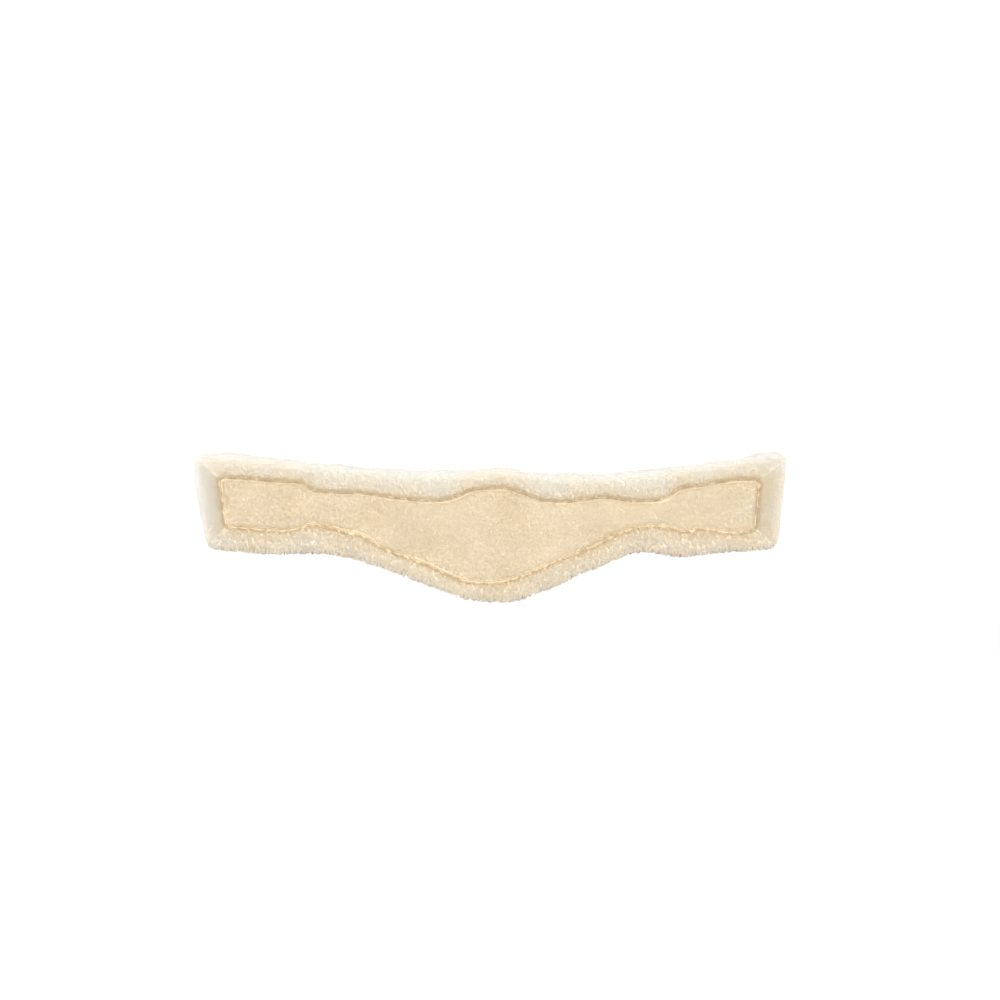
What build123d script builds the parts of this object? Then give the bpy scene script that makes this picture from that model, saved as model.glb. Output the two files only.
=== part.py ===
from build123d import *

"""Contoured saddle girth with a detachable lambskin liner, in millimetres.

The girth is laid out flat in the XY plane first: +X along its length, +Y across it, +Z from the outer
side towards the horse, with Z = 0 on the buckle bars. It is then stood up, so that the finished part
has +X along its length, +Z up and its fleece facing -Y. The origin is midway between the four bars.
"""

import os
from math import cos, radians, sin

# ---------------------------------------------------------------- driving dimensions
BAR_X = 290.0  # from the middle of the girth to the bars of the buckles
END_TILT = 6.0  # degrees by which each end rises outwards
BUCKLE_PITCH = 38.0  # between the two buckles of one end

WIRE_R = 2.0  # buckle frame wire
FRAME_CLEAR_WIDTH = 27.0  # passes a 25 mm billet strap
FRAME_LENGTH = 24.0  # from the bar to the roller
FRAME_CORNER_R = 3.5
RUNNING_CLEARANCE = 0.08
ROLLER_R = 3.75
ROLLER_LENGTH = 24.0
TONGUE_WIDTH = 4.5
TONGUE_THICKNESS = 3.0
TONGUE_LOOP_WALL = 2.4
TONGUE_OVERHANG = 3.5  # past the middle of the roller
TONGUE_SEAT_GAP = 0.3

CHAPE_WIDTH = 24.0
CHAPE_THICKNESS = 1.8
CHAPE_GAP_R = WIRE_R + RUNNING_CLEARANCE  # inside radius of the fold round the bar
CHAPE_LEG = 28.0
CHAPE_SLOT_WIDTH = 6.5
CHAPE_SLOT_BACK = 14.0  # behind the bar, so that the tongue can fold back

ELASTIC_WIDTH = 25.0
ELASTIC_THICKNESS = 2.4
ELASTIC_FREE = 45.0  # the stretch that is free to extend
ELASTIC_ROOT = 23.0  # sewn under the patch
ELASTIC_BEND = 5.0  # level run at each end of the free stretch
ELASTIC_TAIL_GAP = 15.0  # from the bar to the doubled end inside the chape

STRAP_REAR = 4.4
STRAP_THICKNESS = 3.0
COVER_THICKNESS = 1.8
FOAM_THICKNESS = 5.0
LINING_THICKNESS = 1.0
HOOK_THICKNESS = 0.8
BACKING_THICKNESS = 1.2
PANEL_PILE = 11.0
ROLL_PILE = 13.0
ROLL_REAR = -1.0
PATCH_LEATHER = 2.0

BINDING_WALL = 1.0
BINDING_LIP = 0.6
BINDING_LIP_WIDTH = 7.0
ROLL_CLEARANCE = 0.8  # between the girth's edge and the liner that surrounds it

# ---------------------------------------------------------------- levels, from the outer side inwards
COVER_REAR = STRAP_REAR + STRAP_THICKNESS
FOAM_REAR = COVER_REAR + COVER_THICKNESS
LINING_REAR = FOAM_REAR + FOAM_THICKNESS
HOOK_REAR = LINING_REAR + LINING_THICKNESS
LOOP_REAR = HOOK_REAR + HOOK_THICKNESS
BACKING_REAR = LOOP_REAR + HOOK_THICKNESS
PILE_REAR = BACKING_REAR + BACKING_THICKNESS
PANEL_FRONT = PILE_REAR + PANEL_PILE
ROLL_FRONT = PILE_REAR + ROLL_PILE

# ---------------------------------------------------------------- outlines, laid flat
FLEECE_TOP = [
    (-377.5, 63.5), (-340, 65.3), (-289, 61.0), (-213, 52.5), (-138, 46.1), (-62, 43.1), (-20, 44.0),
    (6, 46.7), (40, 43.3), (89, 39.7), (130, 37.8), (164, 40.9), (202, 44.3), (240, 48.1), (277, 54.3),
    (315, 59.3), (345, 66.0), (376.3, 63.5),
]  # fmt: skip
FLEECE_BOTTOM = [
    (362.8, -54.0), (334, -57.3), (290, -60.0), (258, -64.0), (221, -61.5), (202, -59.1), (183, -60.4),
    (157, -68.5), (126, -82.4), (89, -98.7), (51, -114.3), (13, -121.9), (-6, -121.5), (-33, -116.3),
    (-62, -106.3), (-100, -91.5), (-138, -75.4), (-176, -66.3), (-213, -60.9), (-251, -61.5),
    (-289, -60.3), (-330, -57.3), (-357.6, -53.0),
]  # fmt: skip
FLEECE_CORNER_R = 14.0
FLEECE_EDGE_R = 11.0

SEAM_TOP = [
    (-341, 34.0), (-291, 30.5), (-254, 28.0), (-238, 26.0), (-226, 19.0), (-213, 15.2), (-180, 14.5),
    (-143, 10.7), (-80, 3.9), (-55, 4.5), (-38, 9.8), (-24, 16.7), (0, 19.8), (24, 18.9), (47, 11.5),
    (74, 3.5), (93, 2.3), (130, 7.1), (156, 7.3), (175, 3.9), (206, 4.1), (225, 7.6), (239, 18.6),
    (260, 22.5), (299, 28.4), (339.5, 31.0),
]  # fmt: skip
SEAM_BOTTOM = [
    (333.5, -29.0), (291, -32.5), (267, -29.5), (245, -32.5), (229, -28.3), (181, -28.9), (156, -38.2),
    (122, -54.5), (84, -69.8), (45, -87.1), (10, -96.3), (-15, -96.7), (-38, -92.5), (-61, -82.5),
    (-99, -66.1), (-138, -51.5), (-164, -36.5), (-181, -33.5), (-202, -26.5), (-226, -24.5),
    (-245, -29.5), (-291, -30.0), (-331, -27.0),
]  # fmt: skip
SEAM_CORNER_R = 5.0
SEAM_EDGE_R = 4.5

BODY_TOP_HALF = [(0, 28.5), (60, 24.5), (130, 22.5), (200, 30.0), (250, 36.0), (300, 43.0), (354, 50.5)]
BODY_BOTTOM_HALF = [
    (0, -104.5), (25, -102.0), (60, -89.5), (100, -74.0), (140, -57.5), (175, -48.5), (215, -47.0),
    (260, -47.0), (300, -45.0), (344.5, -40.5),
]  # fmt: skip
BODY_CORNER_R = 10.0

STRAP_TOP_HALF = [(0, -18.0), (60, -14.5), (110, -6.0), (150, 5.0), (175, 15.5), (190, 19.5), (226, 24.0)]
STRAP_BOTTOM_HALF = [(0, -58.0), (60, -52.0), (110, -39.5), (150, -34.0), (175, -37.0), (190, -38.8), (220, -38.6)]
STRAP_CORNER_R = 8.0

TAPE_CENTRE = (170.0, 60.0)
TAPE_CENTRE_Y = -37.0
TAPE_END = (110.0, 46.0)
TAPE_END_X = 268.0
TAPE_END_Y = -1.0
TAPE_CORNER_R = 6.0


# ---------------------------------------------------------------- small helpers
def moved_out(points, distance):
    """An edge's points moved to the left of its run, with its two ends run out by as much again."""
    moved = []
    last = len(points) - 1
    for i, point in enumerate(points):
        before, after = Vector(*points[max(i - 1, 0)]), Vector(*points[min(i + 1, last)])
        run = (after - before).normalized()
        lengthening = {0: -distance, last: distance}.get(i, 0)
        place = Vector(*point) + Vector(-run.Y, run.X) * distance + run * lengthening
        moved.append((place.X, place.Y))
    return moved


def closed_face(upper, lower, corner_r, grown=0):
    """A face between an upper edge, left to right, and a lower edge, right to left, with round corners."""
    upper, lower = moved_out(upper, grown), moved_out(lower, grown)
    wire = Wire([
        Edge.make_spline([Vector(*p) for p in upper]),
        Edge.make_line(Vector(*upper[-1]), Vector(*lower[0])),
        Edge.make_spline([Vector(*p) for p in lower]),
        Edge.make_line(Vector(*lower[-1]), Vector(*upper[0])),
    ])  # fmt: skip
    return fillet(Face(wire).vertices(), corner_r + grown)


def both_halves(half):
    """An edge drawn for X >= 0, mirrored and given left to right."""
    return [(-x, y) for x, y in reversed(half[1:])] + list(half)


def symmetric_face(top_half, bottom_half, corner_r, grown=0):
    return closed_face(both_halves(top_half), both_halves(bottom_half)[::-1], corner_r, grown)


def body_outline(grown=0):
    """The girth's own outline, or one that runs outside or inside it."""
    return symmetric_face(BODY_TOP_HALF, BODY_BOTTOM_HALF, BODY_CORNER_R, grown)


def slab(face, low, high):
    """The face as a plate between two levels."""
    return Pos(0, 0, low) * extrude(face, high - low, dir=(0, 0, 1))


def round_edges(solid, level, radius):
    """Rounds the edges of a plate's outline that lie at one level."""
    return fillet(solid.edges().filter_by_position(Axis.Z, level - 0.01, level + 0.01), radius)


def rounded_plate(size, corner_r, low, high):
    return Pos(0, 0, low) * extrude(RectangleRounded(*size, corner_r), high - low)


# ---------------------------------------------------------------- the outlines in use
fleece_face = closed_face(FLEECE_TOP, FLEECE_BOTTOM, FLEECE_CORNER_R)
seam_face = closed_face(SEAM_TOP, SEAM_BOTTOM, SEAM_CORNER_R)
body_face = body_outline()
pocket_face = body_outline(ROLL_CLEARANCE)
inner_face = body_outline(-BINDING_WALL)
lip_face = body_outline(-BINDING_LIP_WIDTH)


# ---------------------------------------------------------------- the lambskin liner
def fleece_ring():
    """The rolled border as one ring: it reaches in to the seam in front and to the girth's edge behind."""
    ring = slab(fleece_face, ROLL_REAR, ROLL_FRONT)
    ring = round_edges(ring, ROLL_FRONT, FLEECE_EDGE_R)
    ring = round_edges(ring, ROLL_REAR, FLEECE_EDGE_R - 2)
    ring -= slab(pocket_face, ROLL_REAR, PILE_REAR)
    ring -= slab(seam_face, PILE_REAR, ROLL_FRONT)
    return ring


def mitre_regions():
    """Four flat regions that share the border out between its strips, cut along the mitred corners."""
    reach = 100.0
    left, right = FLEECE_TOP[0][0] - reach, FLEECE_TOP[-1][0] + reach
    corners = {
        "tl": (SEAM_TOP[0], FLEECE_TOP[0]),
        "tr": (SEAM_TOP[-1], FLEECE_TOP[-1]),
        "br": (SEAM_BOTTOM[0], FLEECE_BOTTOM[0]),
        "bl": (SEAM_BOTTOM[-1], FLEECE_BOTTOM[-1]),
    }

    def run_out(key, x):
        """Where the mitre line through a corner reaches a given X."""
        (ax, ay), (bx, by) = corners[key]
        return (x, ay + (by - ay) * (x - ax) / (bx - ax))

    inside_left, inside_right = (-300.0, 0.0), (300.0, 0.0)
    tl, tr, br, bl = (corners[k][0] for k in ("tl", "tr", "br", "bl"))
    far = {"tl": run_out("tl", left), "tr": run_out("tr", right), "br": run_out("br", right), "bl": run_out("bl", left)}
    return {
        "fleece_roll_left": [tl, far["tl"], far["bl"], bl, inside_left],
        "fleece_roll_right": [tr, far["tr"], far["br"], br, inside_right],
        "fleece_roll_top": [tl, far["tl"], (left, 300), (right, 300), far["tr"], tr, inside_right, inside_left],
        "fleece_roll_bottom": [bl, far["bl"], (left, -300), (right, -300), far["br"], br, inside_right, inside_left],
    }


def liner_parts():
    parts = {}
    ring = fleece_ring()
    for name, region in mitre_regions().items():
        wedge = Face(Wire.make_polygon([Vector(*p) for p in region], close=True))
        parts[name] = ring & slab(wedge, ROLL_REAR - 5, ROLL_FRONT + 5)
    panel = slab(seam_face, PILE_REAR, PANEL_FRONT)
    parts["fleece_panel"] = round_edges(panel, PANEL_FRONT, SEAM_EDGE_R)
    parts["liner_backing"] = slab(pocket_face, BACKING_REAR, PILE_REAR)
    for name, tape in tapes(LOOP_REAR, BACKING_REAR).items():
        parts["loop_tape_" + name] = tape
    return parts


def tapes(low, high):
    """The three patches of touch fastener, which face each other on the girth and the liner."""
    end = rounded_plate(TAPE_END, TAPE_CORNER_R, low, high)
    return {
        "left": Location((-TAPE_END_X, TAPE_END_Y, 0), (0, 0, -END_TILT)) * end,
        "centre": Pos(0, TAPE_CENTRE_Y, 0) * rounded_plate(TAPE_CENTRE, TAPE_CORNER_R, low, high),
        "right": Location((TAPE_END_X, TAPE_END_Y, 0), (0, 0, END_TILT)) * end,
    }


# ---------------------------------------------------------------- the girth that the liner sits on
def edge_binding():
    """Leather tape of U section round the girth's edge."""
    rear, front = COVER_REAR - BINDING_LIP, HOOK_REAR + BINDING_LIP
    tape = slab(body_face, rear, front) - slab(inner_face, COVER_REAR, HOOK_REAR)
    return tape - slab(lip_face, rear, front)


def elastic_profile():
    """The webbing seen edge on, from its sewn root to its doubled end in the chape."""
    half = ELASTIC_THICKNESS / 2
    doubled_end = -ELASTIC_TAIL_GAP
    doubled_start = -CHAPE_LEG
    free_start = doubled_start - ELASTIC_FREE
    root = free_start - ELASTIC_ROOT
    bend = free_start + ELASTIC_BEND
    level = doubled_start - ELASTIC_BEND
    return [
        (root, STRAP_REAR), (bend, STRAP_REAR), (level, half), (doubled_start, half),
        (doubled_start, CHAPE_GAP_R), (doubled_end, CHAPE_GAP_R), (doubled_end, -CHAPE_GAP_R),
        (doubled_start, -CHAPE_GAP_R), (doubled_start, -half), (level, -half),
        (bend, STRAP_REAR - ELASTIC_THICKNESS), (root, STRAP_REAR - ELASTIC_THICKNESS),
    ]  # fmt: skip


def across(profile, width):
    """A profile drawn in X and Z, given a width along Y about Y = 0."""
    face = Face(Wire.make_polygon([Vector(x, -width / 2, z) for x, z in profile], close=True))
    return extrude(face, width, dir=(0, 1, 0))


def elastic_patch():
    """Leather patch over the two elastic roots of one end, with a channel for each."""
    root = -CHAPE_LEG - ELASTIC_FREE - ELASTIC_ROOT
    length, width = ELASTIC_ROOT + 6, BUCKLE_PITCH + ELASTIC_WIDTH + 7
    low = STRAP_REAR - ELASTIC_THICKNESS - PATCH_LEATHER
    patch = Pos(root + length / 2 - 4, 0, 0) * rounded_plate((length, width), 5, low, STRAP_REAR)
    patch = fillet(patch.faces().sort_by(Axis.Z)[0].edges(), 0.8)
    for side in (-1, 1):
        channel = Box(length + 10, ELASTIC_WIDTH, ELASTIC_THICKNESS + 1, align=(Align.MIN, Align.CENTER, Align.MAX))
        patch -= Pos(root, side * BUCKLE_PITCH / 2, STRAP_REAR + 1) * channel
    return patch


def girth_parts():
    parts = {
        "outer_cover": slab(inner_face, COVER_REAR, FOAM_REAR),
        "foam_core": slab(inner_face, FOAM_REAR, LINING_REAR),
        "body_lining": slab(inner_face, LINING_REAR, HOOK_REAR),
        "edge_binding": edge_binding(),
        "load_strap": slab(symmetric_face(STRAP_TOP_HALF, STRAP_BOTTOM_HALF, STRAP_CORNER_R), STRAP_REAR, COVER_REAR),
    }
    for name, tape in tapes(HOOK_REAR, LOOP_REAR).items():
        parts["hook_tape_" + name] = tape
    return parts


# ---------------------------------------------------------------- one buckle with its chape
def buckle_frame():
    """Closed wire frame: its bar lies on X = 0 and its roller bar on X = FRAME_LENGTH."""
    width = FRAME_CLEAR_WIDTH + 2 * WIRE_R
    path = Pos(FRAME_LENGTH / 2, 0, 0) * RectangleRounded(FRAME_LENGTH, width, FRAME_CORNER_R).wire()
    side = Plane(origin=(FRAME_LENGTH / 2, width / 2, 0), z_dir=(1, 0, 0))
    return sweep(side * Circle(WIRE_R), path=path)


def along_bar(x, radius, length):
    """A cylinder on the bar's direction, centred on the buckle's midline."""
    return Pos(x, 0, 0) * Rotation(90, 0, 0) * Cylinder(radius, length)


def buckle_roller():
    bore = along_bar(FRAME_LENGTH, WIRE_R + RUNNING_CLEARANCE, ROLLER_LENGTH + 2)
    tube = along_bar(FRAME_LENGTH, ROLLER_R, ROLLER_LENGTH)
    return chamfer(tube.edges(), 0.4) - bore


def buckle_tongue():
    """Prong that turns on the bar and rests across the roller."""
    loop_r = WIRE_R + RUNNING_CLEARANCE + TONGUE_LOOP_WALL
    seat = -ROLLER_R - TONGUE_SEAT_GAP
    tip = FRAME_LENGTH + TONGUE_OVERHANG
    at_loop = -loop_r + TONGUE_THICKNESS
    fall = (seat - at_loop) / FRAME_LENGTH
    prong = across(
        [(0, at_loop), (tip, at_loop + fall * tip), (tip, seat - TONGUE_THICKNESS), (0, -loop_r)], TONGUE_WIDTH
    )
    prong = fillet(prong.edges().filter_by(Axis.Z, tolerance=30).sort_by(Axis.X)[-2:], TONGUE_WIDTH * 0.42)
    loop = along_bar(0, loop_r, TONGUE_WIDTH)
    return loop + prong - along_bar(0, WIRE_R + RUNNING_CLEARANCE, TONGUE_WIDTH + 2)


def chape():
    """Leather folded round the bar, slotted for the tongue, with both legs sewn to the elastic."""
    outer_r = CHAPE_GAP_R + CHAPE_THICKNESS
    leg = Pos(-CHAPE_LEG, 0, 0)
    outside = along_bar(0, outer_r, CHAPE_WIDTH)
    outside += leg * Box(CHAPE_LEG, CHAPE_WIDTH, 2 * outer_r, align=(Align.MIN, Align.CENTER, Align.CENTER))
    inside = along_bar(0, CHAPE_GAP_R, CHAPE_WIDTH + 2)
    inside += leg * Box(CHAPE_LEG, CHAPE_WIDTH + 2, 2 * CHAPE_GAP_R, align=(Align.MIN, Align.CENTER, Align.CENTER))
    slot_length = CHAPE_SLOT_BACK + outer_r + 1
    slot = Box(slot_length, CHAPE_SLOT_WIDTH, 3 * outer_r, align=(Align.MIN, Align.CENTER, Align.CENTER))
    return outside - inside - Pos(-CHAPE_SLOT_BACK, 0, 0) * slot


def end_places():
    """Where one end's parts go: the end's own frame has +X outwards and its origin between its two bars."""
    return {
        "left": Location((-BAR_X, 0, 0), (0, 0, 180 - END_TILT)),
        "right": Location((BAR_X, 0, 0), (0, 0, END_TILT)),
    }


def hardware_parts():
    parts = {}
    pieces = {
        "elastic": across(elastic_profile(), ELASTIC_WIDTH),
        "chape": chape(),
        "buckle_frame": buckle_frame(),
        "buckle_tongue": buckle_tongue(),
        "buckle_roller": buckle_roller(),
    }
    for end, place in end_places().items():
        parts["elastic_patch_" + end] = place * elastic_patch()
        up = 1 if end == "right" else -1
        for row, side in (("upper", up), ("lower", -up)):
            for piece, solid in pieces.items():
                parts[f"{piece}_{end}_{row}"] = place * Pos(0, side * BUCKLE_PITCH / 2, 0) * solid
    return parts


# ---------------------------------------------------------------- write the sub-parts
def axes_of_joints():
    """Prints each buckle's bar and roller in the finished frame, for the record."""
    for end, direction in (("left", -1), ("right", 1)):
        out = (direction * cos(radians(END_TILT)), sin(radians(END_TILT)))
        for row, side in (("upper", 1), ("lower", -1)):
            bar = (
                direction * (BAR_X - side * BUCKLE_PITCH / 2 * sin(radians(END_TILT))),
                side * BUCKLE_PITCH / 2 * cos(radians(END_TILT)),
            )
            roller = (bar[0] + FRAME_LENGTH * out[0], bar[1] + FRAME_LENGTH * out[1])
            print(end, row, "bar", [round(v, 3) for v in bar], "roller", [round(v, 3) for v in roller])


def main():
    os.makedirs("parts", exist_ok=True)
    stand_up = Rotation(90, 0, 0)
    for name, solid in {**liner_parts(), **girth_parts(), **hardware_parts()}.items():
        export_step(stand_up * solid, f"parts/{name}.step")
    axes_of_joints()


main()
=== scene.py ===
from math import cos, pi, radians, sin

import bmesh
import bpy
import numpy as np
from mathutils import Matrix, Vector
from mathutils.bvhtree import BVHTree
from mathutils.kdtree import KDTree


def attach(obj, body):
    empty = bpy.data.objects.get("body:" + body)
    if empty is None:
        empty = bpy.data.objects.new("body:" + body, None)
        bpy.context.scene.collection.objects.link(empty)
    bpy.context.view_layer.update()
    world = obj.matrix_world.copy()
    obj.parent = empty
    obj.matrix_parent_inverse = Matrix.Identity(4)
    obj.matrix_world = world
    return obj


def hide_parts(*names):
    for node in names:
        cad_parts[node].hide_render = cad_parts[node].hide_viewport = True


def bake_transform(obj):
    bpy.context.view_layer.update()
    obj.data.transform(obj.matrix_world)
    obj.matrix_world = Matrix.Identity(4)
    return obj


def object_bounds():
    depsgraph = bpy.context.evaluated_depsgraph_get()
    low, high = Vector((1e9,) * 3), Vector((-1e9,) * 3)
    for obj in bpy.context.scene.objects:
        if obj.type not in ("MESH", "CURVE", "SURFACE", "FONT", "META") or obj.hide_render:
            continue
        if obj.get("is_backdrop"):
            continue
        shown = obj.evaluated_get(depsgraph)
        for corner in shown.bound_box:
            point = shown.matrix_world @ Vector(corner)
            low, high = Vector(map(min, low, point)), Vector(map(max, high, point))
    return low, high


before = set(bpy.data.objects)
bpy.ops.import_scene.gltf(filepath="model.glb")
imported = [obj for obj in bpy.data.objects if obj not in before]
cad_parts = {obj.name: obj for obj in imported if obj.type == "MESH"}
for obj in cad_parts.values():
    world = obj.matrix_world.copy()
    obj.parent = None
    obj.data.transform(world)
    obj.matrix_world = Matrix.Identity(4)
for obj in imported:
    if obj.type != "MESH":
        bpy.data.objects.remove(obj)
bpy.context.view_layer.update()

MM = 0.001

# Levels of the layers, in mm from the plane of the buckle bars towards the horse: a level of t lies at Y = -t.
STRAP_REAR, COVER_REAR, LINING_REAR, HOOK_REAR, LOOP_REAR = 4.4, 7.4, 14.2, 15.2, 16.0
BACKING_REAR, PILE_REAR, PANEL_FRONT, ROLL_FRONT = 16.8, 18.0, 29.0, 31.0
BAR_X, END_TILT, BUCKLE_PITCH = 290.0, 6.0, 38.0
SEAM_FLOOR = 27.7  # level to which the stitched seam draws the lambskin down
END_STRIP_X = 335.0  # the end strips of the border lie beyond this
HALF_WEBBING = 12.5
HALF_BUCKLE = BUCKLE_PITCH / 2  # from the middle line of an end to either of its buckles
SKIN_VOXEL, BODY_VOXEL = 2.2, 2.4
ROLLS = ("top", "bottom", "left", "right")
ENDS = {"left": -1, "right": 1}
ROWS = {"upper": 1, "lower": -1}


# ---------------------------------------------------------------- numbers and meshes
def unit(v):
    return v / np.maximum(np.linalg.norm(v, axis=-1, keepdims=True), 1e-9)


def waves(p, size, seed, terms=20):
    """Smooth noise of about unit spread, with features of about that size."""
    rng = np.random.default_rng(seed)
    k = unit(rng.normal(size=(terms, 3))) * (2 * pi / size) * rng.uniform(0.6, 1.5, (terms, 1))
    phase = rng.uniform(0, 2 * pi, terms)
    return np.sin(p @ k.T + phase).sum(axis=1) * (2 / terms) ** 0.5


def cad_arrays(node):
    """Vertices in mm and triangles of a CAD node, with its doubled vertices merged."""
    bm = bmesh.new()
    bm.from_mesh(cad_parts[node].data)
    bmesh.ops.remove_doubles(bm, verts=bm.verts, dist=1e-6)
    bmesh.ops.triangulate(bm, faces=bm.faces)
    bm.verts.index_update()
    v = np.array([x.co for x in bm.verts]) / MM
    f = np.array([[x.index for x in t.verts] for t in bm.faces])
    bm.free()
    return v, f


def tree_of(node):
    """A CAD node's surface, to measure distances from."""
    v, f = cad_arrays(node)
    return BVHTree.FromPolygons(v.tolist(), f.tolist())


def gap_to(tree, points, far=40.0):
    """Distance in mm from each point to a surface, or far where it is further off."""
    gaps = (tree.find_nearest(p, far)[3] for p in points)
    return np.array([far if gap is None else min(gap, far) for gap in gaps])


def outline_of(node, level):
    """The ordered (x, z) loop of a plate's edge at one level, in mm."""
    bm = bmesh.new()
    bm.from_mesh(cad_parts[node].data)
    bmesh.ops.remove_doubles(bm, verts=bm.verts, dist=1e-6)
    y = -level * MM
    on = lambda v: abs(v.co.y - y) < 2e-5
    follow = {}
    for e in bm.edges:
        flat = [f for f in e.link_faces if all(on(v) for v in f.verts)]
        if len(flat) == 1 and all(on(v) for v in e.verts):
            a, b = e.verts
            follow.setdefault(a, []).append(b)
            follow.setdefault(b, []).append(a)
    loops = []
    left = dict.fromkeys(follow)  # in order, so that each run starts the loop at the same place
    while left:
        start = next(iter(left))
        del left[start]
        loop, last, here = [start], None, start
        while True:
            onward = [n for n in follow[here] if n is not last and (n in left or n is start)]
            if not onward or onward[0] is start:
                break
            last, here = here, onward[0]
            left.pop(here, None)
            loop.append(here)
        loops.append(np.array([(v.co.x, v.co.z) for v in loop]) / MM)
    bm.free()
    loop = max(loops, key=lambda q: np.ptp(q[:, 0]))
    area = 0.5 * np.sum(loop[:, 0] * np.roll(loop[:, 1], -1) - np.roll(loop[:, 0], -1) * loop[:, 1])
    return loop if area > 0 else loop[::-1]


def resample(loop, step, closed=True):
    """Points every step along a line or loop."""
    q = np.vstack([loop, loop[:1]]) if closed else np.asarray(loop, float)
    s = np.concatenate([[0], np.cumsum(np.linalg.norm(np.diff(q, axis=0), axis=1))])
    n = max(int(round(s[-1] / step)), 3)
    at = np.linspace(0, s[-1], n, endpoint=False) if closed else np.linspace(0, s[-1], n + 1)
    return np.stack([np.interp(at, s, q[:, i]) for i in range(q.shape[1])], axis=1)


def soften(loop, rounds):
    """Rounds a loop's corners off."""
    for _ in range(rounds):
        loop = 0.5 * loop + 0.25 * (np.roll(loop, 1, axis=0) + np.roll(loop, -1, axis=0))
    return loop


def inset(loop, distance):
    """A counter-clockwise loop moved inwards."""
    run = unit(np.roll(loop, -1, axis=0) - np.roll(loop, 1, axis=0))
    return loop + np.stack([-run[:, 1], run[:, 0]], axis=1) * distance


def line_gap(points, loop):
    """Distance from (x, z) points to a loop, and the unit direction away from it."""
    best = np.full(len(points), 1e9)
    away = np.zeros((len(points), 2))
    for p, q in zip(loop, np.roll(loop, -1, axis=0)):
        d = q - p
        t = np.clip((points - p) @ d / max(d @ d, 1e-9), 0, 1)
        off = points - (p + t[:, None] * d)
        g = np.linalg.norm(off, axis=1)
        near = g < best
        best[near] = g[near]
        away[near] = off[near]
    return best, unit(away)


def inside(points, loop):
    """Which (x, z) points lie in a loop."""
    hit = np.zeros(len(points), bool)
    for (x0, z0), (x1, z1) in zip(loop, np.roll(loop, -1, axis=0)):
        crosses = (z0 > points[:, 1]) != (z1 > points[:, 1])
        if crosses.any():
            hit ^= crosses & (points[:, 0] < (x1 - x0) * (points[:, 1] - z0) / (z1 - z0 + 1e-12) + x0)
    return hit


def voxel_mesh(verts, faces, voxel):
    """A closed, evenly meshed copy of a solid, in mm."""
    me = bpy.data.meshes.new("tmp")
    me.from_pydata((verts * MM).tolist(), [], [list(map(int, f)) for f in faces])
    ob = bpy.data.objects.new("tmp", me)
    bpy.context.scene.collection.objects.link(ob)
    mod = ob.modifiers.new("r", "REMESH")
    mod.mode = "VOXEL"
    mod.voxel_size = voxel * MM
    out = ob.evaluated_get(bpy.context.evaluated_depsgraph_get()).to_mesh()
    v = np.empty(len(out.vertices) * 3)
    out.vertices.foreach_get("co", v)
    f = np.array([list(p.vertices) for p in out.polygons if len(p.vertices) == 4])
    bpy.data.objects.remove(ob)
    bpy.data.meshes.remove(me)
    return v.reshape(-1, 3) / MM, f


def relax(v, f, rounds, w=0.5, values=None):
    """Smooths vertex places, or values on the vertices, over a mesh of quads."""
    sides = np.concatenate([f[:, [0, 1]], f[:, [1, 2]], f[:, [2, 3]], f[:, [3, 0]]])
    e = np.unique(np.sort(sides, axis=1), axis=0)
    x = (v if values is None else values).astype(float)
    n = np.maximum(np.bincount(e.ravel(), minlength=len(v)), 1.0)
    for _ in range(rounds):
        total = np.zeros_like(x)
        np.add.at(total, e[:, 0], x[e[:, 1]])
        np.add.at(total, e[:, 1], x[e[:, 0]])
        x = (1 - w) * x + w * (total / (n[:, None] if x.ndim > 1 else n))
    return x


def normals_of(v, f):
    """Outward unit normals at the vertices of a mesh of quads."""
    n = np.zeros_like(v)
    face = np.cross(v[f[:, 2]] - v[f[:, 0]], v[f[:, 3]] - v[f[:, 1]])
    for corner in f.T:
        np.add.at(n, corner, face)
    return unit(n)


def piece(name, verts, faces, mats, body=None, index=None, normals=None):
    """A new mesh object from mm arrays, riding on a CAD body."""
    me = bpy.data.meshes.new(name)
    faces = np.asarray(faces)
    k = faces.shape[1]
    me.vertices.add(len(verts))
    me.vertices.foreach_set("co", (np.asarray(verts, float) * MM).ravel())
    me.loops.add(faces.size)
    me.loops.foreach_set("vertex_index", faces.ravel().astype(np.int32))
    me.polygons.add(len(faces))
    me.polygons.foreach_set("loop_start", np.arange(0, faces.size, k, dtype=np.int32))
    me.polygons.foreach_set("loop_total", np.full(len(faces), k, dtype=np.int32))
    for m in mats if isinstance(mats, (list, tuple)) else [mats]:
        me.materials.append(m)
    if index is not None:
        me.polygons.foreach_set("material_index", np.asarray(index, np.int32))
    me.update(calc_edges=True)
    me.validate()
    me.shade_smooth()
    if normals is not None:
        me.normals_split_custom_set_from_vertices(normals.tolist())
    ob = bpy.data.objects.new(name, me)
    bpy.context.scene.collection.objects.link(ob)
    if body:
        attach(ob, body)
    return ob


# ---------------------------------------------------------------- materials
def material(name, color, roughness=0.6, **sockets):
    """A Principled material with plain values on its own sockets."""
    m = bpy.data.materials.new(name)
    m.use_nodes = True
    b = m.node_tree.nodes["Principled BSDF"]
    b.inputs["Base Color"].default_value = (*color, 1)
    b.inputs["Roughness"].default_value = roughness
    for key, value in sockets.items():
        b.inputs[key.replace("_", " ")].default_value = value
    return m


def nodes_of(m):
    t = m.node_tree
    return t.nodes, t.links, t.nodes["Principled BSDF"]


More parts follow.
